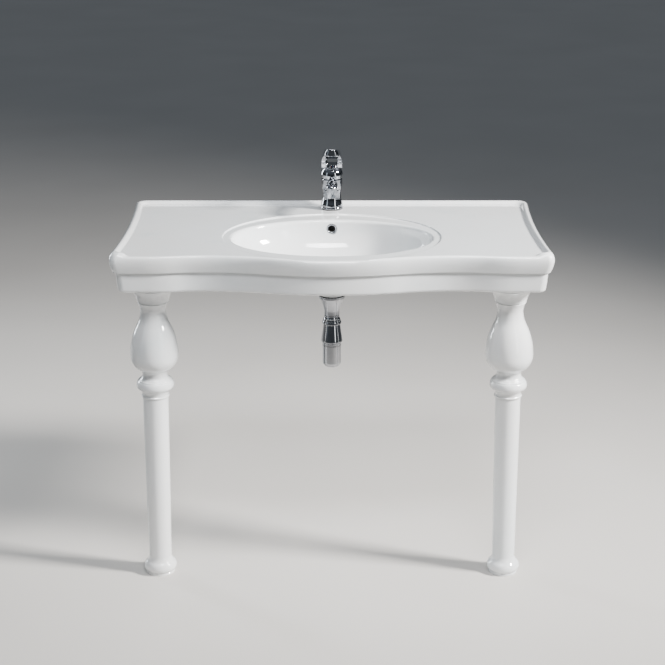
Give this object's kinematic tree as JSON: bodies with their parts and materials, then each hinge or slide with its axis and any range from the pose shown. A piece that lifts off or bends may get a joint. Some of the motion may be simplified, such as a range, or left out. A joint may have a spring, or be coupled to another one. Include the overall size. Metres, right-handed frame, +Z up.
{
  "type": "console sink",
  "caption": "Console washbasin with a bowed front, raised rim and oval bowl on turned ceramic legs, with a loop-lever mixer tap, pop-up waste and bottle trap.",
  "frame": {"origin": "on the floor, midway between the wall plane and the front of the bowed apron, and midway between the sides", "axes": "+X to the right seen from the front, +Y towards the wall, +Z up"},
  "size_m": [1.04, 0.56, 1.018],
  "materials": {
    "ceramic": "glossy white glaze",
    "chrome": "polished chrome plate",
    "rubber": "matte black",
    "brass": "bare machined",
    "zinc_steel": "zinc plated",
    "cartridge_plastic": "moulded",
    "white_plastic": "moulded",
    "index_red_blue": "glossy"
  },
  "bodies": {
    "sink": {"basin": "ceramic", "leg_left": "ceramic", "leg_right": "ceramic", "leg_gasket_left": "rubber", "leg_gasket_right": "rubber", "leg_inserts": "brass", "leg_studs": "zinc_steel", "leg_washers": "zinc_steel", "leg_nuts": "zinc_steel", "tap_body": "chrome", "tap_base_gasket": "rubber", "tap_cartridge": "cartridge_plastic", "cartridge_nut": "brass", "dome_cap": "chrome", "aerator_housing": "chrome", "aerator_insert": "white_plastic", "aerator_seal": "rubber", "inlet_tail_hot": "zinc_steel", "inlet_tail_cold": "zinc_steel", "tap_fixing_stud": "brass", "tap_clamp_gasket": "rubber", "tap_clamp_plate": "zinc_steel", "tap_fixing_nut": "brass", "waste_upper_seal": "rubber", "waste_flange": "chrome", "waste_lower_seal": "rubber", "waste_body": "chrome", "pivot_ball_seat": "white_plastic", "pivot_ball_nut": "chrome", "tail_pipe": "chrome", "trap_inlet_washer": "rubber", "trap_inlet_nut": "chrome", "trap_body": "chrome", "trap_cup": "chrome", "trap_cup_seal": "rubber", "trap_outlet_pipe": "chrome", "trap_outlet_washer": "rubber", "trap_outlet_nut": "chrome", "wall_rosette": "chrome"},
    "lever_carrier": {"cartridge_carrier": "brass", "stem_pin": "zinc_steel"},
    "lever": {"tap_lever": "chrome", "cartridge_stem": "brass", "lever_grub_screw": "zinc_steel", "index_plug": "index_red_blue"},
    "lift_rod_set": {"lift_rod": "chrome", "lift_knob": "chrome", "rod_clamp": "brass", "rod_clamp_screws": "zinc_steel"},
    "pivot_lever": {"pivot_rod": "zinc_steel"},
    "plug": {"waste_plug": "chrome", "plug_seal": "rubber"}
  },
  "joints": [
    {"name": "lever_swivel", "type": "hinge", "parent": "sink", "child": "lever_carrier", "pos_m": [0, 0.218, 0.932], "axis": [0, 0, 1], "range_deg": [-45, 45]},
    {"name": "lever_tilt", "type": "hinge", "parent": "lever_carrier", "child": "lever", "pos_m": [0, 0.218, 0.932], "axis": [-1, 0, 0], "range_deg": [0, 25]},
    {"name": "lift_rod_slide", "type": "slide", "parent": "sink", "child": "lift_rod_set", "axis": [0, 0.2588, 0.9659], "range_m": [0, 0.038]},
    {"name": "pivot_rod_hinge", "type": "hinge", "parent": "sink", "child": "pivot_lever", "pos_m": [0, -0.021, 0.661], "axis": [1, 0, 0], "range_deg": [0, 10.27]},
    {"name": "plug_slide", "type": "slide", "parent": "sink", "child": "plug", "axis": [0, 0, 1], "range_m": [-0.00611, 0]}
  ],
  "couplings": [
    {"joint": "pivot_rod_hinge", "follows": "lift_rod_slide", "rad_per_m": 4.7107},
    {"joint": "plug_slide", "follows": "lift_rod_slide", "ratio": -0.16059}
  ]
}
